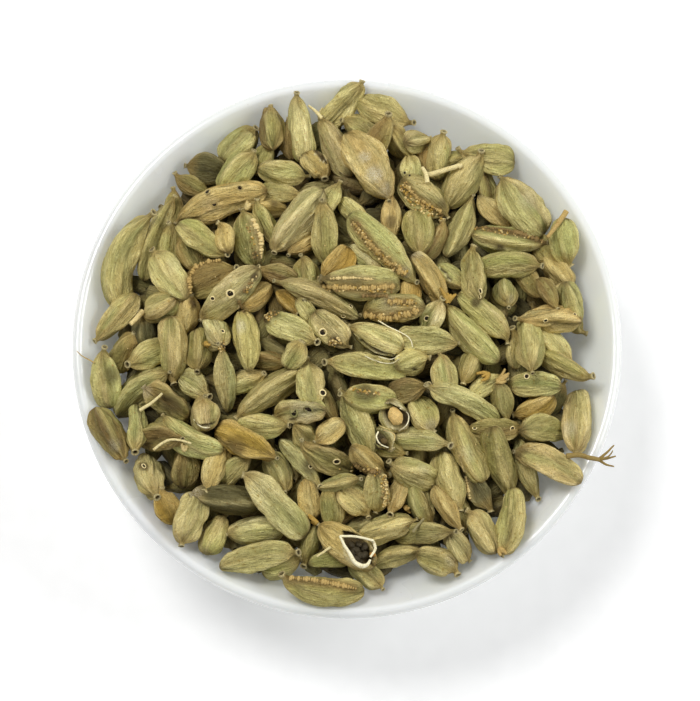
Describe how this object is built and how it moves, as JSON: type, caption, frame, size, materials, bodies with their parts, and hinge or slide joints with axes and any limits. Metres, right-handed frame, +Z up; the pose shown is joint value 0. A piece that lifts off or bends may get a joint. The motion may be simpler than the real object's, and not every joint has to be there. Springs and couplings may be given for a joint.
{
  "type": "dish of dried cardamom pods",
  "caption": "Shallow round white glazed dish on a foot ring, heaped over the rim with dried green cardamom pods.",
  "frame": {"origin": "on the table, under the middle of the dish", "axes": "+Z up; a person looking at the heap as in the picture stands at -Y, with +X on the right"},
  "size_m": [0.12, 0.12, 0.045],
  "materials": {
    "white_glaze": "glossy white glaze",
    "dried_pod": "matt dry husk with fine ribs along each pod, green to straw and brown"
  },
  "bodies": {
    "root": {"dish": "white_glaze", "cardamom_heap": "dried_pod"}
  },
  "joints": []
}
